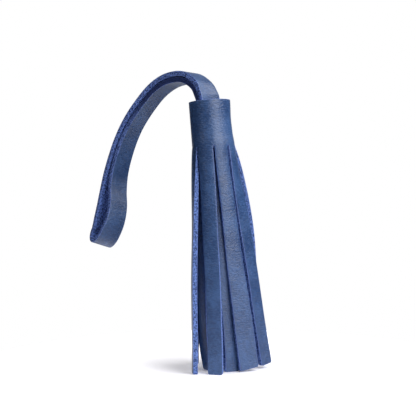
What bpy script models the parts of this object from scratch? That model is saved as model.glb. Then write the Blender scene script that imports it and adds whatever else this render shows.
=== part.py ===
"""Leather tassel: a fringed panel rolled round the ends of a folded strap.

Units are metres, +Z is up. The tassel stands on its strip tips on the plane z = 0, and
its head leans a little towards the side where the strap arches over.

The shape is laid out in a front view: +X to the viewer's right, +Y away from the
viewer. At the end everything turns about Z by FRONT_TURN, so that the eye of the strap
looks along Y, and moves so that the middle of its bounding box stands over the origin.
"""
import bpy
import bmesh
from math import cos, radians, sin
from mathutils import Matrix, Vector
from mathutils.geometry import interpolate_bezier

MM = 0.001

# Driving dimensions
LEATHER = 2.2 * MM           # thickness of the panel and of the strap
HEAD_HEIGHT = 21.5 * MM      # uncut band of the panel, rolled into the head
HEAD_LONG = 8.85 * MM        # outer turn, half its width along the strap's width
HEAD_SHORT = 4.90 * MM       # inner start, half its width across the strap
TURN_PITCH = 2.40 * MM       # leather and the air between two turns
HEAD_SQUARENESS = 2.15       # 2 is an ellipse, more is squarer
RIM_CENTRE = Vector((-10.8, 0.0, 127.0)) * MM
HEAD_LEAN = 4.5              # degrees from upright, to the left at the top
STRAP_WIDTH = 10.7 * MM
SLIT_GAP = 0.6 * MM          # air that a slit opens to just below its top
TAIL_WIDTH = 8.0 * MM        # strap's width inside the head
TAIL_DEPTH = 16 * MM         # how far the strap's ends reach down into the head
WIDEN_START = 0.6 * MM       # height above the rim where the strap begins to widen
WIDEN_HEIGHT = 1.2 * MM      # height over which it gets its full width
FRONT_TURN = 54              # degrees about Z

# How finely the leather is divided
STRIP_COLUMNS = 4            # across one strip
BAND_ROWS = 2                # down the head
STRIP_ROWS = 13              # down one strip
STRAP_STEPS = 3              # between two stations of the strap's route
STRAP_COLUMNS = 2            # across the strap

FOOT = 6.0 * MM              # last stretch of a strip, straight to its tip
RAISED_RUN = 20.0 * MM       # how far above its foot a raised strip is straight already
RESTING_RUN = 8.0 * MM       # the same for a strip that stands upright
RAISED = 1.0                 # mm: strips lifted this far or more end askew, as they hang

ROLL_AXIS = 43.0             # degrees: the roll is narrowest in this heading
STEP_HEADING = -77.0         # where each turn begins to step in under the one outside it
STEP_SWEEP = 120.0           # degrees that the step takes

# The strips in the order in which they are rolled, from the outer end inwards. A
# heading is in degrees about the head: 0 faces the viewer, 90 the viewer's right.
# x and y place the middle of a tip, facing is the heading of its outer side, lift is
# its height over the floor and slope its rise to the right. drop is how far down the
# strip keeps the head's direction and flare how far it is pushed out over that drop.
# turned is the part of its fall after which it lies flat and faces its own way, and
# swing the lean of its tip, in degrees, to the viewer's right.
# Lengths are in millimetres.
SEAM_HEADING = 181.0
STRIPS = [
    # name, heading of its far slit, x, y, facing, width, lift, slope, drop, flare, turned, swing
    ("back", 136.0, 1.0, 18.6, 168.0, 7.0, 0.0, 0.0, 10.0, 0.0, 1.0, 0.0),
    ("back_right", 91.0, 13.2, 11.0, 108.0, 7.0, 1.6, 0.0, 34.0, 12.5, 1.0, 0.0),
    ("right", 46.0, 16.2, 2.1, 42.0, 7.3, 1.8, 10.0, 20.0, 2.9, 0.4, 0.0),
    ("front_right", 5.5, 7.7, -6.2, 22.0, 9.7, 1.1, 10.7, 8.0, 0.0, 1.0, 0.0),
    ("front", -46.0, -7.45, -14.4, -22.0, 7.1, 0.0, 0.0, 10.0, 0.0, 1.0, 0.0),
    ("left", -91.0, -17.3, -12.0, -83.0, 7.0, 0.0, 0.0, 10.0, 2.1, 0.45, 0.0),
    ("back_left", -136.0, -17.3, 0.5, -94.0, 7.0, 0.5, 0.0, 10.0, 0.0, 1.0, 0.0),
    ("left_of_back", -186.0, -17.2, 11.6, -97.0, 7.0, 0.0, 0.0, 10.0, 0.0, 1.0, 0.0),
    ("inner_back", -248.0, 4.0, 9.6, -212.0, 6.8, 0.6, 0.0, 25.0, 0.0, 1.0, 0.0),
    ("inner_right", -314.0, 9.2, 2.0, -306.0, 6.8, 0.8, 0.0, 25.0, 0.0, 1.0, 0.0),
    ("inner_front", -380.0, -0.2, -6.6, -334.0, 7.8, 0.0, 0.0, 25.0, 0.0, 1.0, 0.0),
    ("inner_left", -446.0, -10.6, -4.4, -426.0, 7.2, 0.3, 0.0, 40.0, 1.4, 1.0, 11.0),
    ("inner_back_left", -512.0, -5.2, 4.6, -516.0, 6.8, 0.6, 0.0, 25.0, 0.0, 1.0, 0.0),
]

# The strap's route from the head to the bend of its loop. x, y and z place the middle
# between its two layers, yaw and dip turn its width from the viewer's right, and part
# is the air between the layers. Millimetres and degrees.
ROUTE = [
    # x, y, z, yaw, dip, part
    (-11.9, 0.2, 130.5, 42, 0, 0.3),
    (-14.2, 2.6, 136.0, 43, 0, 0.4),
    (-20.5, 9.6, 140.2, 45, 0, 0.5),
    (-28.8, 18.2, 140.0, 49, 0, 0.5),
    (-35.8, 25.0, 136.4, 52, -1, 0.6),
    (-42.1, 30.6, 130.3, 54, -3, 0.7),
    (-48.6, 35.6, 121.5, 54, -6, 0.8),
    (-53.3, 38.6, 112.5, 52, -9, 1.0),
    (-56.8, 39.8, 102.5, 48, -11, 1.3),
    (-58.9, 39.4, 93.5, 44, -13, 2.2),
    (-59.8, 37.6, 85.0, 40, -14, 4.4),
    (-60.1, 35.2, 77.0, 37, -15, 7.6),
    (-61.1, 33.4, 70.0, 35, -16, 9.0),
    (-63.2, 32.8, 64.2, 34, -17, 7.2),
]
BEND_END = (-65.8, 33.0, 58.6)


def clear_scene():
    for item in list(bpy.data.objects):
        bpy.data.objects.remove(item, do_unlink=True)


def leather(name, colour, roughness):
    material = bpy.data.materials.new(name)
    material.use_nodes = True
    shader = material.node_tree.nodes["Principled BSDF"]
    shader.inputs["Base Color"].default_value = (*colour, 1.0)
    shader.inputs["Roughness"].default_value = roughness
    shader.inputs["Metallic"].default_value = 0.0
    return material


def ease(value):
    """Smooth step from 0 to 1."""
    value = min(max(value, 0.0), 1.0)
    return value * value * (3.0 - 2.0 * value)


def across(heading):
    """Level direction along the leather at a heading, to its viewer's right."""
    angle = radians(heading)
    return Vector((cos(angle), sin(angle), 0.0))


def outward(heading):
    """Level direction away from the head's axis at a heading."""
    angle = radians(heading)
    return Vector((sin(angle), -cos(angle), 0.0))


def head_frame():
    """Matrix from the head's own frame to the front view; its z = 0 is the slit line."""
    lean = Matrix.Rotation(radians(-HEAD_LEAN), 4, "Y")
    to_rim = Matrix.Translation((0.0, 0.0, -HEAD_HEIGHT))
    return Matrix.Translation(RIM_CENTRE) @ lean @ to_rim


def signed_power(value, power):
    return abs(value) ** power * (1.0 if value >= 0.0 else -1.0)


def turns_in(heading):
    """Whole turns already rolled under the outer one, with a smooth step between them."""
    swept = STEP_HEADING - heading
    whole = swept // 360.0
    return whole + ease((swept - 360.0 * whole) / STEP_SWEEP)


def roll_point(heading):
    """Middle of the leather in the rolled head, at a heading counted through the turns."""
    turn = radians(heading - ROLL_AXIS)
    power = 2.0 / HEAD_SQUARENESS
    long_half = HEAD_LONG - TURN_PITCH * turns_in(heading)
    short_half = HEAD_SHORT + TURN_PITCH * (heading - ROLL_AXIS + 540.0) / 360.0
    along = long_half * signed_power(sin(turn), power)
    toward = short_half * signed_power(cos(turn), power)
    return along * across(ROLL_AXIS) + toward * outward(ROLL_AXIS)


def roll_points(start, end, count):
    return [roll_point(start + (end - start) * index / count) for index in range(count + 1)]


def strip_rows(frame, start, strip):
    """Rows of points down one strip, from the row under the slit line to its tip."""
    end, x, y, facing, width, lift, slope, drop, flare, turned_by, swing = strip[1:]
    root_points = [frame @ point for point in roll_points(start, end, STRIP_COLUMNS)]
    root = sum(root_points, Vector()) / len(root_points)
    root_facing = (start + end) / 2.0
    turned = frame.to_3x3()
    down = turned @ Vector((0.0, 0.0, -1.0))
    root_across = turned @ across(root_facing)
    root_outward = turned @ outward(root_facing)
    offsets = [point - root for point in root_points]
    rounded = [(offset.dot(root_across), offset.dot(root_outward)) for offset in offsets]

    tip = Vector((x, y, lift)) * MM
    upright = lift < RAISED
    up = Vector((0.0, 0.0, 1.0)) if upright else (root - tip).normalized()
    up = Matrix.Rotation(radians(-swing), 3, "Y") @ up
    run = RESTING_RUN if upright and swing == 0.0 else RAISED_RUN
    foot = tip + up * FOOT
    leaving = root + down * drop * MM + root_outward * flare * MM
    centres = interpolate_bezier(root, leaving, foot + up * run, foot, STRIP_ROWS)
    tilt = radians(slope)
    kept = 1.0 - SLIT_GAP / (width * MM)
    rows = []
    for centre in centres[1:]:
        turn = ease((root.z - centre.z) / (root.z - foot.z) / turned_by)
        heading = root_facing + (facing - root_facing) * turn
        level = across(heading) * cos(tilt) + Vector((0.0, 0.0, sin(tilt)))
        row_across = (turned @ across(heading)).lerp(level, turn).normalized()
        row_outward = (turned @ outward(heading)).lerp(outward(heading), turn).normalized()
        row = []
        for column, (sideways, bulge) in enumerate(rounded):
            straight = width * MM * (0.5 - column / STRIP_COLUMNS)
            shift = (sideways + (straight - sideways) * turn) * kept
            row.append(centre + row_across * shift + row_outward * bulge * (1.0 - turn))
        rows.append(row)
    rows.append([point - up * FOOT for point in rows[-1]])
    return rows


def new_object(name, mesh, material):
    item = bpy.data.objects.new(name, mesh)
    bpy.context.scene.collection.objects.link(item)
    item.data.materials.append(material)
    return item


def thicken(item):
    """Give a leather surface its thickness, half to each side."""
    solidify = item.modifiers.new("thickness", "SOLIDIFY")
    solidify.thickness = LEATHER
    solidify.offset = 0.0
    solidify.use_even_offset = True
    solidify.thickness_clamp = 0.0


def fill_rows(bm, rows):
    """Quads between rows of vertices."""
    for upper, lower in zip(rows, rows[1:]):
        for column in range(len(upper) - 1):
            corners = (upper[column], upper[column + 1], lower[column + 1], lower[column])
            bm.faces.new(corners)


def make_panel(material):
    """The panel: one sheet, rolled in its uncut band and slit into strips below."""
    frame = head_frame()
    headings = [SEAM_HEADING] + [strip[1] for strip in STRIPS]
    edge = []
    for start, end in zip(headings, headings[1:]):
        edge += roll_points(start, end, STRIP_COLUMNS)[:-1]
    edge.append(roll_point(headings[-1]))

    bm = bmesh.new()
    band = []
    for level in range(BAND_ROWS + 1):
        height = HEAD_HEIGHT * (1.0 - level / BAND_ROWS)
        lifted = Vector((0.0, 0.0, height))
        band.append([bm.verts.new(frame @ (point + lifted)) for point in edge])
    fill_rows(bm, band)
    slit_line = band[-1]
    for number, strip in enumerate(STRIPS):
        first = number * STRIP_COLUMNS
        top = slit_line[first:first + STRIP_COLUMNS + 1]
        points = strip_rows(frame, headings[number], strip)
        rows = [top] + [[bm.verts.new(point) for point in row] for row in points]
        fill_rows(bm, rows)
    bmesh.ops.recalc_face_normals(bm, faces=bm.faces)
    mesh = bpy.data.meshes.new("fringed_panel")
    bm.to_mesh(mesh)
    bm.free()
    item = new_object("fringed_panel", mesh, material)
    thicken(item)
    return item


def catmull(points, steps):
    """Smooth run through rows of numbers, with the given number of steps a span."""
    rows = []
    last = len(points) - 1
    for index in range(last):
        before = points[max(index - 1, 0)]
        here = points[index]
        there = points[index + 1]
        after = points[min(index + 2, last)]
        for step in range(steps):
            t = step / steps
            rows.append([
                0.5 * (2 * b + (c - a) * t + (2 * a - 5 * b + 4 * c - d) * t * t
                       + (3 * b - a - 3 * c + d) * t * t * t)
                for a, b, c, d in zip(before, here, there, after)])
    rows.append(list(points[last]))
    return rows


def width_direction(yaw, dip):
    level = Vector((cos(radians(yaw)), sin(radians(yaw)), 0.0))
    return level * cos(radians(dip)) + Vector((0.0, 0.0, sin(radians(dip))))


def strap_stations():
    """Middle, width direction, outward direction, half spread and width down the strap."""
    upright = head_frame().to_3x3() @ Vector((0.0, 0.0, 1.0))
    yaw, dip, part = ROUTE[0][3:]
    head_rows = []
    for depth in (TAIL_DEPTH, TAIL_DEPTH / 2.0, 0.0):
        point = (RIM_CENTRE - upright * depth) / MM
        head_rows.append((*point, yaw, dip, part))
    samples = catmull(head_rows + ROUTE, STRAP_STEPS)
    stations = []
    for index, (x, y, z, yaw, dip, part) in enumerate(samples):
        middle = Vector((x, y, z)) * MM
        before = Vector(samples[max(index - 1, 0)][:3])
        after = Vector(samples[min(index + 1, len(samples) - 1)][:3])
        along = (after - before).normalized()
        sideways = width_direction(yaw, dip)
        sideways = (sideways - along * sideways.dot(along)).normalized()
        away = sideways.cross(along).normalized()
        spread = (LEATHER + part * MM) / 2.0
        above_rim = (middle - RIM_CENTRE).dot(upright)
        beyond = max(above_rim, (middle - RIM_CENTRE).length - TAIL_DEPTH)
        widened = ease((beyond - WIDEN_START) / WIDEN_HEIGHT)
        width = TAIL_WIDTH + (STRAP_WIDTH - TAIL_WIDTH) * widened
        stations.append((middle, sideways, away, spread, width))
    return stations


def make_strap(material):
    """The strap: one strip of leather, folded in half, its ends in the head."""
    stations = strap_stations()
    middle, sideways, away, spread, width = stations[-1]
    end = Vector(BEND_END) * MM
    reach = end - middle
    rows = []
    for centre, side, out, half, wide in stations:
        rows.append((centre + out * half, side, wide))
    for angle in (135, 90, 45):
        turn = radians(angle)
        centre = middle - away * spread * cos(turn) + reach * sin(turn)
        rows.append((centre, sideways, width))
    for centre, side, out, half, wide in reversed(stations):
        rows.append((centre - out * half, side, wide))

    bm = bmesh.new()
    grid = []
    for centre, side, wide in rows:
        line = []
        for column in range(STRAP_COLUMNS + 1):
            part = column / STRAP_COLUMNS - 0.5
            line.append(bm.verts.new(centre + side * wide * part))
        grid.append(line)
    fill_rows(bm, grid)
    bmesh.ops.recalc_face_normals(bm, faces=bm.faces)
    mesh = bpy.data.meshes.new("loop_strap")
    bm.to_mesh(mesh)
    bm.free()
    item = new_object("loop_strap", mesh, material)
    thicken(item)
    return item


def stand_over_origin(items):
    """Turn the parts about Z and centre their bounding box over the origin."""
    turn = Matrix.Rotation(radians(FRONT_TURN), 4, "Z")
    for item in items:
        item.data.transform(turn)
    depsgraph = bpy.context.evaluated_depsgraph_get()
    corners = []
    for item in items:
        shape = item.evaluated_get(depsgraph).to_mesh()
        corners += [vertex.co.copy() for vertex in shape.vertices]
    low = [min(corner[axis] for corner in corners) for axis in range(3)]
    high = [max(corner[axis] for corner in corners) for axis in range(3)]
    shift = Vector((-(low[0] + high[0]) / 2.0, -(low[1] + high[1]) / 2.0, -low[2]))
    for item in items:
        item.data.transform(Matrix.Translation(shift))
    return shift


def main():
    clear_scene()
    grain = leather("panel_leather", (0.052, 0.103, 0.235), 0.55)
    strap_grain = leather("strap_leather", (0.058, 0.112, 0.250), 0.55)
    panel = make_panel(grain)
    strap = make_strap(strap_grain)
    return stand_over_origin([panel, strap])


main()
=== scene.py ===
"""Leather tassel: a slit panel rolled into its head, a folded strap loop and a plain stage.

Everything is laid out in a front view, +X to the viewer's right and +Y away, in metres.
Each finished piece is then turned about Z and moved into the part's own frame.
"""
from collections import namedtuple
from math import cos, pi, radians, sin, sqrt

import bmesh
import bpy
from mathutils import Matrix, Vector, noise


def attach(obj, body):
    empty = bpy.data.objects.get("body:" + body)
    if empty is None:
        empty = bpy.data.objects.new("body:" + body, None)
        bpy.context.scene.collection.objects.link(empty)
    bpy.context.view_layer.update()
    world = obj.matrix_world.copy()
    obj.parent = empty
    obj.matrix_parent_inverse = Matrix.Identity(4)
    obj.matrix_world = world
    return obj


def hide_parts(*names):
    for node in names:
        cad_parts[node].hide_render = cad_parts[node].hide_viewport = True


bl_info = {
    "name": "Leather tassel",
    "version": (1, 0, 0),
    "blender": (4, 5, 0),
    "location": "3D View > Sidebar > Tassel",
    "description": "Makes a rolled leather tassel with its strap loop, and a stage for it",
    "category": "Add Mesh",
}

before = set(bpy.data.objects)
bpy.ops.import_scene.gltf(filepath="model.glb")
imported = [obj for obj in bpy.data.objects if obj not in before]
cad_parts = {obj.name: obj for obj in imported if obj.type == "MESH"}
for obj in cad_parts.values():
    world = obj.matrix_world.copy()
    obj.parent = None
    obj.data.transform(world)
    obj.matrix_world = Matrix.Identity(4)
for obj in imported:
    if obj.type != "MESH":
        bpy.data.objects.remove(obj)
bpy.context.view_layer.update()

MM = 0.001
UP = Vector((0.0, 0.0, 1.0))
WHITE = (1.0, 1.0, 1.0, 1.0)

# From the front view to the part's frame: a turn about Z, then the middle of its box.
FRONT_TURN = radians(54.0)
BOX_MIDDLE = Vector((29.421, 10.052, 0.0)) * MM
TO_PART = Matrix.Translation(BOX_MIDDLE) @ Matrix.Rotation(FRONT_TURN, 4, "Z")

# The rolled head
RIM_CENTRE = Vector((-10.8, 0.0, 127.0)) * MM
HEAD_LEAN = radians(4.5)     # the head leans to the viewer's left
HEAD_LONG = 8.85 * MM        # outer turn, half its width along the strap's width
HEAD_SHORT = 4.90 * MM       # inner start, half its width across the strap
TURN_PITCH = 2.40 * MM       # leather and the air between two turns
HEAD_SQUARENESS = 2.15       # 2 is an ellipse, more is squarer
ROLL_AXIS = 43.0             # degrees: the roll is narrowest in this heading
ROLL_START = ROLL_AXIS - 540.0   # heading at which the roll is as narrow as its inner start
STEP_HEADING = -77.0         # where each turn begins to step in under the one outside it
STEP_SWEEP = 120.0           # degrees that the step takes
SEAM_HEADING = 181.0         # where the panel's outer end lies
SWELL_SWEEP = 30.0           # degrees from the step over which the outer turn may swell
BELL_RUN = 6.0 * MM          # height over which the band swells out to the slits
PINCH_RUN = 25.0 * MM        # height of the slightly waisted part of the band

# How finely the leather is divided
STRIP_COLUMNS = 10           # across one strip
BAND_ROWS = 36               # down the head
FALL_ROWS = 64               # down one strip to its foot
FOOT_ROWS = 8                # down the foot, closest at its tip
BELL_ROWS = 14               # rows below the slits' tops over which the bell fades
STRAP_COLUMNS = 10           # across the strap
TAIL_SPANS = 4               # stations of the strap's route inside the head
STRAP_STEPS = 9              # between two stations of the strap's route
BEND_STEPS = 12              # round the strap's fold

# How a strip falls
FOOT = 6.0 * MM              # last stretch of a strip, straight to its tip
RAISED = 1.0                 # mm: strips lifted this far or more end askew, as they hang
RAISED_RUN = 20.0 * MM       # how far above its foot such a strip is straight already
RESTING_RUN = 8.0 * MM       # the same for an upright one
SLIT_GAP = 0.6 * MM          # air that a slit opens to just below its top
SWAY_TURNS = 7.0             # radians of a strip's wave to the side, down its fall
SWAY_SHARE = 0.6             # that wave's size against the one in and out
BOW_TURNS = 9.0              # radians of its wave in and out, down its fall
NEXT_STRIP = 2.4             # radians that the wave shifts from one strip to the next
BOW_SHIFT = 1.7              # how much more the wave in and out shifts

# The knife's waver is read from a noise, along a line for each cut.
STRIP_APART = 3.1            # between the lines of two strips
PANEL_PACE, PANEL_LINE = 0.21, 0.5   # a row's step along the line, and the line's place
STRAP_PACE, STRAP_LINE = 0.19, 2.5   # the same for the strap

# The strips, from the outer end inwards. A heading is in degrees about the head: 0
# faces the viewer, 90 the viewer's right. far_slit is the heading of a strip's inner
# slit, x and y place the middle of its tip, facing is the heading of its grain side,
# lift its height over the floor and slope its rise to the right. drop is how far the
# strip keeps the head's direction, flare how far it is pushed out over that drop,
# turned the part of its fall after which it faces its own way, and swing the lean of
# its tip to the right. Lengths are in millimetres, angles in degrees.
Strip = namedtuple(
    "Strip", "name far_slit x y facing width lift slope drop flare turned swing")
STRIPS = [
    Strip("back", 136.0, 1.0, 18.6, 168.0, 7.0, 0.0, 0.0, 10.0, 0.0, 1.0, 0.0),
    Strip("back_right", 91.0, 13.2, 11.0, 108.0, 7.0, 1.6, 0.0, 34.0, 12.5, 1.0, 0.0),
    Strip("right", 46.0, 16.2, 2.1, 42.0, 7.3, 1.8, 10.0, 20.0, 2.9, 0.4, 0.0),
    Strip("front_right", 5.5, 7.85, -6.2, 22.0, 10.0, 1.1, 10.7, 8.0, 0.0, 1.0, 0.0),
    Strip("front", -46.0, -7.7, -14.4, -13.0, 7.5, 0.0, 0.0, 26.0, 0.0, 1.0, 0.0),
    Strip("left", -91.0, -17.3, -12.0, -83.0, 7.0, 0.0, 0.0, 10.0, 2.1, 0.45, 0.0),
    Strip("back_left", -136.0, -17.4, -1.5, -94.0, 7.0, 0.5, 0.0, 10.0, 0.0, 1.0, 0.0),
    Strip("left_of_back", -186.0, -17.2, 11.6, -97.0, 7.0, 0.0, 0.0, 10.0, 0.0, 1.0, 0.0),
    Strip("inner_back", -248.0, 4.0, 9.6, -212.0, 6.8, 0.6, 0.0, 25.0, 0.0, 1.0, 0.0),
    Strip("inner_right", -314.0, 10.6, 3.0, -306.0, 6.8, 0.8, 0.0, 25.0, 0.0, 1.0, 0.0),
    Strip("inner_front", -380.0, -0.2, -6.6, -334.0, 7.8, 0.0, 0.0, 25.0, 0.0, 1.0, 0.0),
    Strip("inner_left", -446.0, -10.5, -4.4, -412.0, 7.2, 0.3, 0.0, 40.0, 1.4, 1.0, 11.0),
    Strip("inner_back_left", -512.0, -5.2, 4.6, -516.0, 6.8, 0.6, 0.0, 25.0, 0.0, 1.0, 0.0),
]
SLIT_HEADINGS = [SEAM_HEADING] + [strip.far_slit for strip in STRIPS]
PANEL_COLUMNS = STRIP_COLUMNS * len(STRIPS)
PANEL_ROWS = BAND_ROWS + FALL_ROWS + FOOT_ROWS

# The strap's route from the head to its fold, middle between its two layers. yaw and
# dip turn its width from the viewer's right, part is the air between the layers.
TAIL_WIDTH = 8.0 * MM        # strap's width inside the head
TAIL_DEPTH = 16.0 * MM       # how far the strap's ends reach down into the head
STRAP_EXIT = Vector((-0.5, 0.4, 0.0)) * MM   # from the rim's middle to where it leaves
WIDEN_START = -0.5 * MM      # height above the rim where the strap begins to widen
WIDEN_HEIGHT = 1.1 * MM      # height over which it gets its full width
ROUTE = [
    # x, y, z, yaw, dip, part
    (-12.3, 0.5, 130.4, 38, 0, 0.6),
    (-14.9, 2.6, 135.4, 46, 0, 0.5),
    (-20.7, 9.6, 139.8, 46, 0, 0.5),
    (-28.8, 18.2, 139.9, 49, 0, 0.5),
    (-36.0, 25.0, 136.4, 52, -1, 0.6),
    (-42.3, 30.6, 130.3, 54, -3, 0.7),
    (-48.95, 35.6, 121.5, 54, -6, 0.8),
    (-53.65, 38.6, 112.5, 52, -9, 1.0),
    (-57.15, 39.8, 102.5, 48, -11, 1.3),
    (-59.3, 39.4, 93.5, 44, -13, 2.2),
    (-60.4, 37.6, 85.0, 40, -14, 4.4),
    (-60.9, 35.2, 77.0, 37, -15, 7.6),
    (-62.0, 33.4, 70.0, 35, -16, 9.0),
    (-63.7, 32.8, 64.2, 34, -17, 7.2),
]
BEND_END = Vector((-66.1, 33.0, 58.6)) * MM      # middle of the strap at its fold

# Places of the materials on a piece. The grain is first, and the strap's under layer
# has a grain, a flesh side and a cut of its own.
FLESH_SIDE, CUT_EDGE, ARRIS, UNDER_GRAIN = 1, 2, 3, 4
ARRIS_ANGLE = radians(50.0)  # a sharper turn than this is a cut, and gets an arris
PAINTED_SHADE_FROM = 112.0 * MM        # height at which the under layer's cut begins to darken as painted shade
PAINTED_SHADE_FULL = 132.0 * MM        # height at which that painted shade is full

# Lumps of a noise to one pore, fibre bundle or swell of the leather
LUMPS_PER_PORE = 0.5
LUMPS_PER_BUNDLE = 0.9
LUMPS_PER_SWELL = 0.5
GRAIN_DRAWN = (1.0, 1.0, 2.2)    # pores lie on their sides, drawn out round the head
NAP_COARSENESS = 1.3         # the flesh side's bundles against those in a cut

# The stage
PAINTED_GLOW_TINT = (1.0, 0.985, 1.0, 1.0)   # the board's painted glow, a touch less green
BACKDROP_RIM = 0.7           # cosine of the angle from the backdrop's middle to its rim
BACKDROP_FULL = 0.98         # the same to where it is fully lit
CAMERA_PLACE = Vector((-11.2, -408.0, 76.4)) * MM
SENSOR, LENS = 36.0, 74.25   # millimetres
CLIP_START = 0.01            # metres


def linear(hex_colour):
    """An sRGB hex colour as linear red, green, blue and alpha."""
    values = [int(hex_colour[place:place + 2], 16) / 255.0 for place in (1, 3, 5)]
    light = [v / 12.92 if v <= 0.04045 else ((v + 0.055) / 1.055) ** 2.4 for v in values]
    return (*light, 1.0)


def colour(name, hex_colour, description):
    """A colour that the user can change."""
    return bpy.props.FloatVectorProperty(
        name=name, description=description, subtype="COLOR", size=4, min=0.0, max=1.0,
        default=linear(hex_colour))


def length(name, millimetres, description):
    """A length that the user can change."""
    return bpy.props.FloatProperty(
        name=name, description=description, default=millimetres * MM, min=0.0,
        subtype="DISTANCE", unit="LENGTH", precision=5)


def angle(name, degrees, description):
    """An angle that the user can change."""
    return bpy.props.FloatProperty(
        name=name, description=description, default=radians(degrees), subtype="ANGLE",
        unit="ROTATION")


def brightness(name, value, description, unit="NONE"):
    """A strength of light that the user can change, in watts if its unit is power."""
    return bpy.props.FloatProperty(
        name=name, description=description, default=value, min=0.0, unit=unit)


class TasselLeather(bpy.types.PropertyGroup):
    """Colours and grain of the leather."""

    grain_dark: colour("Grain, dark", "#203a64", "Dye where the grain is close")
    grain_light: colour("Grain, light", "#32507e", "Wax haze where the grain was bent")
    cut: colour("Cut edge", "#6a86c8", "Dyed fibres in a knife cut")
    cut_dark: colour("Cut edge, dark", "#1c2a52", "Hollows between the fibres")
    # Painted light: the strap's cuts are drawn paler than the panel's, where the outer
    # layer's edge catches the light.
    cut_strap_painted_light: colour("Strap edge, painted light", "#7a97e6", "Strap's cuts, drawn paler as painted light")
    # Painted shade: the strap's under-layer cut is drawn darker towards the head, where it
    # lies in shade under the outer layer.
    cut_painted_shade: colour("Edge, painted shade", "#2e3c70", "Under cut darkened near the head, painted shade")
    flesh: colour("Flesh side", "#6280cc", "Napped back of the leather")
    # Partly painted highlight: the arris line is drawn paler and lilac, as the light
    # catching a cut's corner.
    burr_and_highlight: colour("Arris", "#6a78b8", "Fibres raised along the knife's line")
    # Real pores are about 0.15 mm apart and real bundles 0.1 mm wide. A pixel of the
    # render is 0.5 mm of the tassel, so both are drawn as coarse as they need to show.
    pore: length("Pore", 0.75, "Distance between two pores of the grain, drawn coarse")
    fibre: length("Fibre", 0.62, "Width of a bundle of fibres in a cut, drawn coarse")
    cloud: length("Haze", 13.0, "Width of a cloud in the wax haze")
    swell: length("Swell", 4.5, "Width of a low swell in the hide")
    pore_depth: length("Pore depth", 0.34, "Relief of the pores, as coarse as they are")
    swell_depth: length("Swell depth", 0.5, "Relief of the swells")
    nap_depth: length("Nap depth", 0.4, "Relief of the flesh side")
    cut_depth: length("Cut depth", 0.3, "Relief of the fibres in a cut")
    burr_depth: length("Arris depth", 0.1, "Relief of the raised line")


class TasselPanelSizes(bpy.types.PropertyGroup):
    """Sizes of the fringed panel."""

    thickness: length("Thickness", 2.2, "Thickness of the panel")
    head_height: length("Head height", 21.5, "Height of the uncut band")
    arris: length("Arris", 0.26, "Width of the raised line that the knife leaves")
    wave: length("Wave", 0.22, "How far a strip strays from its line")
    waver: length("Cut waver", 0.07, "How far a cut strays from its line")
    bell: length("Bell", 0.50, "How far the band swells out where the slits begin")
    pinch: length("Waist", 0.30, "How far it is drawn in above that")
    corner: length("Tip corner", 0.9, "Radius of a strip's worn lower corners")


class TasselStrapSizes(bpy.types.PropertyGroup):
    """Sizes of the strap."""

    width: length("Width", 10.7, "Width of the strap")
    thickness: length("Thickness", 2.45, "Thickness of a layer with its raised fibres")
    waver: length("Cut waver", 0.07, "How far a cut strays from its line")
    arris: length("Arris", 0.11, "Width of the raised line that the knife leaves")
    set_back: length("Set back", 0.5, "How much narrower the under layer is cut")


class TasselStage(bpy.types.PropertyGroup):
    """Floor, lights and backdrop."""

    floor: colour("Floor", "#e6e5ea", "Matt white board")
    # Painted light and shade: the board glows, rising from the floor glow to the rim glow
    # between the glow radii, and painted shade dims it to nothing within the shade radii.
    glow: brightness("Floor, painted glow", 0.39, "Painted glow of the board near the tassel")
    painted_glow_rim: brightness("Rim glow", 0.95, "The same painted glow at the board's rim")
    shade_start: length("Shade start", 5.0, "Radius of the darkest shade underneath")
    shade_end: length("Shade end", 20.0, "Radius at which that shade has ended")
    glow_start: length("Glow start", 25.0, "How far from the middle it begins to rise")
    glow_full: length("Glow full", 80.0, "How far from the middle it has risen")
    board: length("Board", 130.0, "Radius of the round board that it stands on")
    reach: length("Light distance", 380.0, "How far the lights stand from the head")
    key: brightness("Key light", 1.50, "Soft light at the viewer's right", "POWER")
    key_side: angle("Key side", 41.0, "How far to the viewer's right it stands")
    key_height: angle("Key height", 16.0, "How high it stands")
    key_width: length("Key width", 320.0, "Width of the key light")
    top: brightness("Top light", 1.65, "Soft light overhead", "POWER")
    top_side: angle("Top side", 80.0, "How far to the viewer's right it stands")
    top_height: angle("Top height", 55.0, "How high it stands")
    top_width: length("Top width", 380.0, "Width of the top light")
    front: brightness("Front light", 0.33, "Soft light beside the camera", "POWER")
    front_side: angle("Front side", -48.0, "How far to the viewer's right it stands")
    front_height: angle("Front height", 34.0, "How high it stands")
    front_width: length("Front width", 200.0, "Width of the front light")
    fill: brightness("Fill", 0.04, "Light from the room, before the object")
    back: brightness("Backdrop", 0.65, "Light from the white backdrop")


def ease(value):
    """Smooth step from 0 to 1."""
    value = min(max(value, 0.0), 1.0)
    return value * value * (3.0 - 2.0 * value)


def across(heading, slope=0.0):
    """Direction along the leather at a heading, to its viewer's right and up a slope."""
    level = Vector((cos(radians(heading)), sin(radians(heading)), 0.0))
    return level * cos(radians(slope)) + UP * sin(radians(slope))


def outward(heading):
    """Level direction away from the head's axis at a heading."""
    return Vector((sin(radians(heading)), -cos(radians(heading)), 0.0))


def signed_power(value, power):
    """A power that keeps the value's sign."""
    return abs(value) ** power * (1.0 if value >= 0.0 else -1.0)


def turns_in(heading):
    """Whole turns rolled under the outer one, with a smooth step between them."""
    swept = STEP_HEADING - heading
    whole = swept // 360.0
    return whole + ease((swept - 360.0 * whole) / STEP_SWEEP)


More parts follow.
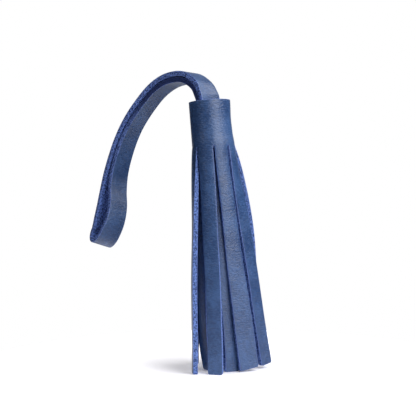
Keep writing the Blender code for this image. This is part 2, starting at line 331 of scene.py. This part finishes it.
def roll_point(heading):
    """Middle of the leather in the rolled head, at a heading counted through the turns."""
    turn = radians(heading - ROLL_AXIS)
    power = 2.0 / HEAD_SQUARENESS
    long_half = HEAD_LONG - TURN_PITCH * turns_in(heading)
    short_half = HEAD_SHORT + TURN_PITCH * (heading - ROLL_START) / 360.0
    along = long_half * signed_power(sin(turn), power)
    toward = short_half * signed_power(cos(turn), power)
    return along * across(ROLL_AXIS) + toward * outward(ROLL_AXIS)


def head_swell(heading, below, panel):
    """How far the outer turn stands out, a distance below the rim."""
    if heading < STEP_HEADING:
        return 0.0
    from_slits = panel.head_height - below
    bell = panel.bell * (1.0 - ease(from_slits / BELL_RUN))
    pinch = panel.pinch * (sin(pi * ease(from_slits / PINCH_RUN)) ** 2)
    return (bell - pinch) * ease((heading - STEP_HEADING) / SWELL_SWEEP)


def bezier(start, leaving, arriving, end, t):
    """Point on a cubic curve."""
    back = 1.0 - t
    return (start * back ** 3 + leaving * 3.0 * back * back * t
            + arriving * 3.0 * back * t * t + end * t ** 3)


def grid_sheet(columns, rows):
    """A flat square of leather, with its flat cut kept as a UV map."""
    bm = bmesh.new()
    bm.loops.layers.uv.new("flat_cut")
    bmesh.ops.create_grid(
        bm, x_segments=columns, y_segments=rows, size=0.5, calc_uvs=True)
    return bm


def grid_place(vert, columns, rows):
    """Column from the left and row from the top of a vertex of a flat sheet."""
    return round((vert.co.x + 0.5) * columns), round((0.5 - vert.co.y) * rows)


def finish_sheet(bm, name, materials, sizes):
    """A sheet that was rolled or folded becomes a piece of leather in its place."""
    bmesh.ops.reverse_faces(bm, faces=bm.faces)
    bmesh.ops.transform(bm, matrix=TO_PART, verts=bm.verts)
    for face in bm.faces:
        face.smooth = True
    mesh = bpy.data.meshes.new(name)
    bm.to_mesh(mesh)
    bm.free()
    piece = bpy.data.objects.new(name, mesh)
    bpy.context.scene.collection.objects.link(piece)
    for material in materials:
        mesh.materials.append(material)
    wall = piece.modifiers.new("thickness", "SOLIDIFY")
    wall.thickness = sizes.thickness
    wall.offset = 0.0
    wall.use_even_offset = True
    wall.thickness_clamp = 0.0
    wall.material_offset = FLESH_SIDE
    wall.material_offset_rim = CUT_EDGE
    edge = piece.modifiers.new("arris", "BEVEL")
    edge.width = sizes.arris
    edge.segments = 2
    edge.profile = 0.5
    edge.limit_method = "ANGLE"
    edge.angle_limit = ARRIS_ANGLE
    edge.material = ARRIS
    return piece


def cut_slits(bm):
    """Part the strips of the flat panel, from the band's lower edge down."""
    slits = []
    for edge in bm.edges:
        (first, top), (second, low) = [
            grid_place(vert, PANEL_COLUMNS, PANEL_ROWS) for vert in edge.verts]
        inside = 0 < first < PANEL_COLUMNS and first % STRIP_COLUMNS == 0
        if first == second and inside and min(top, low) >= BAND_ROWS:
            slits.append(edge)
    bmesh.ops.split_edges(bm, edges=slits)


def strip_of(vert):
    """Number of the strip that a vertex of the slit panel belongs to."""
    middle = sum(face.calc_center_median().x for face in vert.link_faces)
    middle = (middle / len(vert.link_faces) + 0.5) * PANEL_COLUMNS
    return min(int(middle // STRIP_COLUMNS), len(STRIPS) - 1)


def heading_of(number, place):
    """Heading of a column of a strip, counted from its outer side."""
    start, end = SLIT_HEADINGS[number:number + 2]
    return start + (end - start) * place / STRIP_COLUMNS


def facing_of(number):
    """Heading that a strip faces where it leaves the band."""
    return sum(SLIT_HEADINGS[number:number + 2]) / 2.0


def band_point(heading, row, head, panel):
    """Point of the uncut band."""
    below = panel.head_height * row / BAND_ROWS
    push = outward(heading) * head_swell(heading, below, panel)
    height = UP * (panel.head_height - below)
    return head @ (roll_point(heading) + push + height)


def strip_root(number, head):
    """Middle of a strip's top, and how far each column lies across and out from it."""
    turned = head.to_3x3()
    points = [head @ roll_point(heading_of(number, place))
              for place in range(STRIP_COLUMNS + 1)]
    root = sum(points, Vector()) / len(points)
    facing = facing_of(number)
    side, out = turned @ across(facing), turned @ outward(facing)
    return root, [((p - root).dot(side), (p - root).dot(out)) for p in points]


def strip_line(number, root, head, panel):
    """Rows of one strip: centre, direction across, direction out and how flat it is."""
    strip = STRIPS[number]
    turned = head.to_3x3()
    root_facing = facing_of(number)
    tip = Vector((strip.x, strip.y, strip.lift)) * MM
    upright = strip.lift < RAISED
    up = UP.copy() if upright else (root - tip).normalized()
    up = Matrix.Rotation(radians(-strip.swing), 3, "Y") @ up
    run = RESTING_RUN if upright and strip.swing == 0.0 else RAISED_RUN
    foot = tip + up * FOOT
    leaving = root + turned @ -UP * strip.drop * MM
    leaving += turned @ outward(root_facing) * strip.flare * MM
    phase = number * NEXT_STRIP
    rows = []
    for row in range(1, FALL_ROWS + 1):
        centre = bezier(root, leaving, foot + up * run, foot, row / FALL_ROWS)
        fallen = (root.z - centre.z) / (root.z - foot.z)
        turn = ease(fallen / strip.turned)
        heading = root_facing + (strip.facing - root_facing) * turn
        sideways = (turned @ across(heading)).lerp(across(heading, strip.slope), turn)
        sideways.normalize()
        out = (turned @ outward(heading)).lerp(outward(heading), turn).normalized()
        wave = panel.wave * sin(pi * fallen) ** 2
        sway = wave * SWAY_SHARE * sin(fallen * SWAY_TURNS + phase)
        bow = wave * sin(fallen * BOW_TURNS + phase * BOW_SHIFT)
        rows.append((centre + sideways * sway + out * bow, sideways, out, turn))
    centre, sideways, out, turn = rows[-1]
    for row in range(1, FOOT_ROWS + 1):
        down_by = FOOT * sin(pi / 2.0 * row / FOOT_ROWS)
        rows.append((centre - up * down_by, sideways, out, turn))
    return rows


def worn_corner(fall, panel):
    """How far a strip's rounded lower corners draw in its sides at a row of its fall."""
    if fall <= FALL_ROWS:
        return 0.0
    to_tip = FOOT * (1.0 - sin(pi / 2.0 * (fall - FALL_ROWS) / FOOT_ROWS))
    short = max(panel.corner - to_tip, 0.0)
    return panel.corner - sqrt(panel.corner ** 2 - short ** 2)


def cut_waver(column, row, columns, strip, pace, line):
    """Stray of a cut from its line, from -1 to 1, and none between the cuts."""
    if column not in (0, columns):
        return 0.0
    return noise.noise(Vector((strip * STRIP_APART + column, row * pace, line)))


def strip_point(number, place, row, station, lies, panel):
    """Point of a strip, from its line's row and from how its column lies at its top."""
    fall = row - BAND_ROWS
    centre, side, out, turn = station
    sideways, bulge = lies
    width = STRIPS[number].width * MM
    straight = width * (0.5 - place / STRIP_COLUMNS)
    drawn_in = SLIT_GAP + 2.0 * worn_corner(fall, panel)
    shift = (sideways + (straight - sideways) * turn) * (1.0 - drawn_in / width)
    swell = head_swell(facing_of(number), panel.head_height, panel)
    fade = (1.0 - ease(fall / BELL_ROWS)) * swell
    stray = cut_waver(place, row, STRIP_COLUMNS, number, PANEL_PACE, PANEL_LINE)
    return (centre + side * (shift + panel.waver * stray * turn)
            + out * (bulge * (1.0 - turn) + fade))


class OBJECT_OT_tassel_fringed_panel(bpy.types.Operator):
    """Cut the panel flat, slit it, roll its head and let its strips fall"""

    bl_idname = "object.tassel_fringed_panel"
    bl_label = "Fringed panel"

    def execute(self, context):
        leather = context.scene.tassel_leather
        panel = context.scene.tassel_panel
        head = (Matrix.Translation(RIM_CENTRE) @ Matrix.Rotation(-HEAD_LEAN, 4, "Y")
                @ Matrix.Translation(-UP * panel.head_height))
        bm = grid_sheet(PANEL_COLUMNS, PANEL_ROWS)
        cut_slits(bm)
        roots = [strip_root(number, head) for number in range(len(STRIPS))]
        lines = [strip_line(number, root, head, panel)
                 for number, (root, _) in enumerate(roots)]

        moved = []
        for vert in bm.verts:
            column, row = grid_place(vert, PANEL_COLUMNS, PANEL_ROWS)
            number = strip_of(vert)
            place = column - number * STRIP_COLUMNS
            if row <= BAND_ROWS:
                point = band_point(heading_of(number, place), row, head, panel)
            else:
                point = strip_point(number, place, row, lines[number][row - BAND_ROWS - 1],
                                    roots[number][1][place], panel)
            moved.append((vert, point))
        for vert, point in moved:
            vert.co = point

        piece = finish_sheet(bm, "fringed_panel_leather", leather_materials(leather), panel)
        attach(piece, "root")
        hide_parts("fringed_panel")
        return {"FINISHED"}


def catmull(points, steps):
    """Smooth run through rows of numbers, with the given number of steps a span."""
    rows = []
    last = len(points) - 1
    for index in range(last):
        before = points[max(index - 1, 0)]
        after = points[min(index + 2, last)]
        for step in range(steps):
            t = step / steps
            rows.append([
                0.5 * (2 * b + (c - a) * t + (2 * a - 5 * b + 4 * c - d) * t * t
                       + (3 * b - a - 3 * c + d) * t * t * t)
                for a, b, c, d in zip(before, points[index], points[index + 1], after)])
    rows.append(list(points[last]))
    return rows


def strap_width(middle, upright, strap):
    """The strap's width: narrow in the head, and full from just above its rim on."""
    # The loop hangs lower than the rim, so there its distance from it counts instead.
    from_rim = middle - RIM_CENTRE
    beyond = max(from_rim.dot(upright), from_rim.length - TAIL_DEPTH)
    widened = ease((beyond - WIDEN_START) / WIDEN_HEIGHT)
    return TAIL_WIDTH + (strap.width - TAIL_WIDTH) * widened


def strap_rows(strap):
    """Middle, width direction and width, from one end of the strap round to the other."""
    upright = Matrix.Rotation(-HEAD_LEAN, 3, "Y") @ UP
    tail = []
    for span in range(TAIL_SPANS, -1, -1):
        place = RIM_CENTRE + STRAP_EXIT - upright * (TAIL_DEPTH * span / TAIL_SPANS)
        tail.append((*(place / MM), *ROUTE[0][3:]))
    samples = catmull(tail + ROUTE, STRAP_STEPS)
    stations = []
    for index, (x, y, z, yaw, dip, part) in enumerate(samples):
        middle = Vector((x, y, z)) * MM
        before = Vector(samples[max(index - 1, 0)][:3])
        after = Vector(samples[min(index + 1, len(samples) - 1)][:3])
        along = (after - before).normalized()
        side = across(yaw, dip)
        side = (side - along * side.dot(along)).normalized()
        away = side.cross(along).normalized() * (strap.thickness + part * MM) / 2.0
        stations.append((middle, side, away, strap_width(middle, upright, strap)))
    middle, side, away, width = stations[-1]
    rows = [(centre + out, across_it, wide) for centre, across_it, out, wide in stations]
    for step in range(1, BEND_STEPS):
        turn = pi * (1.0 - step / BEND_STEPS)
        reach = (BEND_END - middle) * sin(turn)
        rows.append((middle - away * cos(turn) + reach, side, width))
    rows += [(centre - out, across_it, wide)
             for centre, across_it, out, wide in reversed(stations)]
    return rows


class OBJECT_OT_tassel_loop_strap(bpy.types.Operator):
    """Fold the strap in half and lead it from the head over to its fold"""

    bl_idname = "object.tassel_loop_strap"
    bl_label = "Loop strap"

    def execute(self, context):
        leather = context.scene.tassel_leather
        strap = context.scene.tassel_strap
        line = strap_rows(strap)
        rows = len(line) - 1
        under = (rows + BEND_STEPS) // 2
        bm = grid_sheet(STRAP_COLUMNS, rows)
        for face in bm.faces:
            if all(grid_place(v, STRAP_COLUMNS, rows)[1] >= under for v in face.verts):
                face.material_index = UNDER_GRAIN
        for vert in bm.verts:
            column, row = grid_place(vert, STRAP_COLUMNS, rows)
            centre, side, width = line[row]
            waver = strap.waver * cut_waver(
                column, row, STRAP_COLUMNS, 0, STRAP_PACE, STRAP_LINE)
            share = column / STRAP_COLUMNS
            narrowed = strap.set_back * (1.0 - share) * ease((row - under) / BEND_STEPS)
            vert.co = centre + side * (width * (share - 0.5) + waver + narrowed)

        grain, flesh, _, arris = leather_materials(leather)
        # The strap's cuts are drawn paler than the panel's as painted light, where the
        # outer layer's edge catches the light.
        painted_light_edge = fibre_material(
            "raised_cut_edge", leather, leather.cut_strap_painted_light, leather.cut_depth)
        # Painted shade: the under layer's cut darkens towards the head.
        waxed = fibre_material(
            "waxed_cut_edge", leather, leather.cut_strap_painted_light, leather.cut_depth,
            waxed=leather.cut_painted_shade)
        surfaces = [grain, flesh, painted_light_edge, arris, grain, flesh, waxed]
        piece = finish_sheet(bm, "loop_strap_leather", surfaces, strap)
        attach(piece, "root")
        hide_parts("loop_strap")
        return {"FINISHED"}


def add_node(tree, kind, inputs, **settings):
    """A node with its settings, and its inputs set or linked."""
    made = tree.nodes.new(kind)
    for name, value in settings.items():
        setattr(made, name, value)
    for name, value in inputs.items():
        if isinstance(value, bpy.types.NodeSocket):
            tree.links.new(value, made.inputs[name])
        else:
            made.inputs[name].default_value = value
    return made


def new_surface(name):
    """An empty material, its tree and its shader."""
    material = bpy.data.materials.new(name)
    material.use_nodes = True
    tree = material.node_tree
    return material, tree, tree.nodes["Principled BSDF"]


def grain_material(leather):
    """Vegetable-tanned cowhide, drum dyed and waxed: a smooth grain with fine pores,
    a soft gloss, and a paler haze where bending has moved the wax."""
    material, tree, shader = new_surface("waxed_cowhide_grain")
    place = add_node(tree, "ShaderNodeTexCoord", {}).outputs["Object"]
    cloud = add_node(tree, "ShaderNodeTexNoise", {
        "Vector": place, "Scale": 1.0 / leather.cloud, "Detail": 4.0, "Roughness": 0.6})
    haze = add_node(tree, "ShaderNodeMapRange", {
        "Value": cloud.outputs["Fac"], "From Min": 0.36, "From Max": 0.66})
    drawn = add_node(tree, "ShaderNodeVectorMath", {
        0: place, 1: GRAIN_DRAWN}, operation="MULTIPLY").outputs["Vector"]
    speck = add_node(tree, "ShaderNodeTexNoise", {
        "Vector": drawn, "Scale": LUMPS_PER_PORE / leather.pore, "Detail": 2.0,
        "Roughness": 0.6})
    spread = add_node(tree, "ShaderNodeMapRange", {
        "Value": speck.outputs["Fac"], "From Min": 0.3, "From Max": 0.7,
        "To Min": -0.5, "To Max": 0.5})
    amount = add_node(tree, "ShaderNodeMath", {
        0: haze.outputs["Result"], 1: spread.outputs["Result"]}, use_clamp=True)
    dye = add_node(tree, "ShaderNodeMix", {
        "Factor": amount.outputs["Value"], "A": leather.grain_dark,
        "B": leather.grain_light}, data_type="RGBA")
    tree.links.new(dye.outputs["Result"], shader.inputs["Base Color"])
    gloss = add_node(tree, "ShaderNodeMapRange", {
        "Value": amount.outputs["Value"], "To Min": 0.36, "To Max": 0.46})
    tree.links.new(gloss.outputs["Result"], shader.inputs["Roughness"])
    swell = add_node(tree, "ShaderNodeTexNoise", {
        "Vector": place, "Scale": LUMPS_PER_SWELL / leather.swell, "Detail": 1.0})
    lumps = add_node(tree, "ShaderNodeBump", {
        "Height": swell.outputs["Fac"], "Strength": 1.0, "Distance": leather.swell_depth})
    pores = add_node(tree, "ShaderNodeBump", {
        "Height": speck.outputs["Fac"], "Strength": 1.0, "Distance": leather.pore_depth,
        "Normal": lumps.outputs["Normal"]})
    tree.links.new(pores.outputs["Normal"], shader.inputs["Normal"])
    shader.inputs["IOR"].default_value = 1.5
    shader.inputs["Coat Weight"].default_value = 0.15
    shader.inputs["Coat Roughness"].default_value = 0.38
    return material


def fibre_material(name, leather, light, relief, dark=None, coarseness=1.0, waxed=None):
    """Dyed fibre bundles, torn or cut across: no gloss, pale ends and dark hollows.
    With a shade colour given, the pale ends darken to it with height towards the head:
    painted shade."""
    material, tree, shader = new_surface(name)
    place = add_node(tree, "ShaderNodeTexCoord", {}).outputs["Object"]
    bundle = add_node(tree, "ShaderNodeTexNoise", {
        "Vector": place, "Scale": LUMPS_PER_BUNDLE / (leather.fibre * coarseness),
        "Detail": 3.0, "Roughness": 0.7})
    depth = add_node(tree, "ShaderNodeMapRange", {
        "Value": bundle.outputs["Fac"], "From Min": 0.40, "From Max": 0.58})
    ends = light
    # Painted shade: the pale ends turn to the shade colour with height.
    if waxed is not None:
        height = add_node(tree, "ShaderNodeSeparateXYZ", {0: place}).outputs["Z"]
        shade_share = add_node(tree, "ShaderNodeMapRange", {
            "Value": height, "From Min": PAINTED_SHADE_FROM, "From Max": PAINTED_SHADE_FULL})
        ends = add_node(tree, "ShaderNodeMix", {
            "Factor": shade_share.outputs["Result"], "A": light, "B": waxed},
            data_type="RGBA").outputs["Result"]
    hollows = leather.cut_dark if dark is None else dark
    dye = add_node(tree, "ShaderNodeMix", {
        "Factor": depth.outputs["Result"], "A": hollows, "B": ends}, data_type="RGBA")
    tree.links.new(dye.outputs["Result"], shader.inputs["Base Color"])
    bump = add_node(tree, "ShaderNodeBump", {
        "Height": bundle.outputs["Fac"], "Strength": 1.0, "Distance": relief})
    tree.links.new(bump.outputs["Normal"], shader.inputs["Normal"])
    shader.inputs["Roughness"].default_value = 0.85
    shader.inputs["IOR"].default_value = 1.45
    shader.inputs["Specular IOR Level"].default_value = 0.2
    shader.inputs["Sheen Weight"].default_value = 0.1
    shader.inputs["Sheen Tint"].default_value = light
    return material


def leather_materials(leather):
    """Grain, flesh side, cut edge and arris, in the order that the pieces use."""
    found = [bpy.data.materials.get(name) for name in (
        "waxed_cowhide_grain", "napped_flesh_side", "knife_cut_edge", "knife_arris")]
    if None not in found:
        return found
    return [
        grain_material(leather),
        # Split and buffed at the tannery: a dull nap, a little coarser than a cut.
        fibre_material("napped_flesh_side", leather, leather.flesh, leather.nap_depth,
                       coarseness=NAP_COARSENESS),
        # Cut with a knife and left raw: pale ends of fibres beside dark hollows.
        fibre_material("knife_cut_edge", leather, leather.cut, leather.cut_depth),
        # Raised by the blade along each side of a cut: a thin line without hollows, its
        # pale lilac partly painted highlight along the cut's corner.
        fibre_material("knife_arris", leather, leather.burr_and_highlight, leather.burr_depth,
                       dark=leather.cut),
    ]


def board_material(stage):
    """White board, matt sprayed: no gloss. It glows as painted light, brighter towards its
    rim, and a painted shade dims that glow where the tassel stands."""
    material, tree, shader = new_surface("matt_white_board")
    shader.inputs["Base Color"].default_value = stage.floor
    shader.inputs["Roughness"].default_value = 0.9
    shader.inputs["Specular IOR Level"].default_value = 0.2
    shader.inputs["Emission Color"].default_value = PAINTED_GLOW_TINT
    # Painted light rising towards the rim, and painted shade under the tassel.
    spot = add_node(tree, "ShaderNodeVectorMath", {
        0: add_node(tree, "ShaderNodeTexCoord", {}).outputs["Object"],
        1: -BOX_MIDDLE}, operation="ADD").outputs["Vector"]
    far = add_node(tree, "ShaderNodeVectorMath", {0: spot}, operation="LENGTH")
    rise = add_node(tree, "ShaderNodeMapRange", {
        "Value": far.outputs["Value"], "From Min": stage.glow_start,
        "From Max": stage.glow_full, "To Min": stage.glow, "To Max": stage.painted_glow_rim})
    shade = add_node(tree, "ShaderNodeMapRange", {
        "Value": far.outputs["Value"], "From Min": stage.shade_start,
        "From Max": stage.shade_end})
    shaded = add_node(tree, "ShaderNodeMath", {
        0: rise.outputs["Result"], 1: shade.outputs["Result"]}, operation="MULTIPLY")
    tree.links.new(shaded.outputs["Value"], shader.inputs["Emission Strength"])
    return material


def soft_light(name, stage):
    """A round soft box, so far to the viewer's right and so high, turned to the head."""
    side = getattr(stage, f"{name}_side")
    height = getattr(stage, f"{name}_height")
    lamp = bpy.data.lights.new(name, "AREA")
    lamp.shape = "DISK"
    lamp.energy = getattr(stage, name)
    lamp.size = getattr(stage, f"{name}_width")
    light = bpy.data.objects.new(name, lamp)
    level = Vector((sin(side), -cos(side), 0.0))
    toward = level * cos(height) + UP * sin(height)
    light.location = TO_PART @ (RIM_CENTRE + toward * stage.reach)
    light.rotation_euler = (pi / 2.0 - height, 0.0, FRONT_TURN + side)
    light.visible_camera = False
    bpy.context.scene.collection.objects.link(light)


def white_room(stage):
    """A white backdrop behind the tassel and a little light from the room before it."""
    world = bpy.data.worlds.new("white_room")
    world.use_nodes = True
    tree = world.node_tree
    backdrop = tree.nodes["Background"]
    facing = add_node(tree, "ShaderNodeVectorMath", {
        0: add_node(tree, "ShaderNodeTexCoord", {}).outputs["Generated"],
        1: (-sin(FRONT_TURN), cos(FRONT_TURN), 0.0)}, operation="DOT_PRODUCT")
    glow = add_node(tree, "ShaderNodeMapRange", {
        "Value": facing.outputs["Value"], "From Min": BACKDROP_RIM,
        "From Max": BACKDROP_FULL, "To Min": stage.fill, "To Max": stage.back})
    seen = add_node(tree, "ShaderNodeLightPath", {}).outputs["Is Camera Ray"]
    white = add_node(tree, "ShaderNodeMix", {
        "Factor": seen, "A": glow.outputs["Result"], "B": 1.0})
    tree.links.new(white.outputs["Result"], backdrop.inputs["Strength"])
    backdrop.inputs["Color"].default_value = WHITE
    return world


class OBJECT_OT_tassel_stage(bpy.types.Operator):
    """Lay the floor, hang the lights and place the camera"""

    bl_idname = "object.tassel_stage"
    bl_label = "Stage"

    def execute(self, context):
        scene = context.scene
        stage = scene.tassel_stage
        scene.view_settings.view_transform = "Standard"

        bm = bmesh.new()
        bmesh.ops.create_circle(bm, cap_ends=True, segments=64, radius=stage.board)
        bmesh.ops.transform(bm, matrix=TO_PART, verts=bm.verts)
        mesh = bpy.data.meshes.new("floor")
        bm.to_mesh(mesh)
        bm.free()
        mesh.materials.append(board_material(stage))
        floor = bpy.data.objects.new("floor", mesh)
        scene.collection.objects.link(floor)

        for name in ("key", "top", "front"):
            soft_light(name, stage)
        scene.world = white_room(stage)

        lens = bpy.data.cameras.new("camera")
        lens.sensor_width = SENSOR
        lens.lens = LENS
        lens.clip_start = CLIP_START
        camera = bpy.data.objects.new("camera", lens)
        camera.location = TO_PART @ CAMERA_PLACE
        camera.rotation_euler = (pi / 2.0, 0.0, FRONT_TURN)
        scene.collection.objects.link(camera)
        scene.camera = camera
        return {"FINISHED"}


class VIEW3D_PT_tassel(bpy.types.Panel):
    """Sizes and colours of the tassel, with a button for each piece"""

    bl_label = "Leather tassel"
    bl_category = "Tassel"
    bl_space_type = "VIEW_3D"
    bl_region_type = "UI"

    def draw(self, context):
        for name, kind in GROUPS.items():
            group = getattr(context.scene, name)
            for prop in kind.__annotations__:
                self.layout.prop(group, prop)
        for operator in OPERATORS:
            self.layout.operator(operator.bl_idname)


GROUPS = {
    "tassel_leather": TasselLeather,
    "tassel_panel": TasselPanelSizes,
    "tassel_strap": TasselStrapSizes,
    "tassel_stage": TasselStage,
}
OPERATORS = (
    OBJECT_OT_tassel_fringed_panel,
    OBJECT_OT_tassel_loop_strap,
    OBJECT_OT_tassel_stage,
)


def register():
    for kind in (*GROUPS.values(), *OPERATORS, VIEW3D_PT_tassel):
        bpy.utils.register_class(kind)
    for name, kind in GROUPS.items():
        setattr(bpy.types.Scene, name, bpy.props.PointerProperty(type=kind))


def unregister():
    for name in GROUPS:
        delattr(bpy.types.Scene, name)
    for kind in (*GROUPS.values(), *OPERATORS, VIEW3D_PT_tassel):
        bpy.utils.unregister_class(kind)


def main():
    register()
    bpy.ops.object.tassel_stage()
    bpy.ops.object.tassel_fringed_panel()
    bpy.ops.object.tassel_loop_strap()


if __name__ == "__main__":
    main()
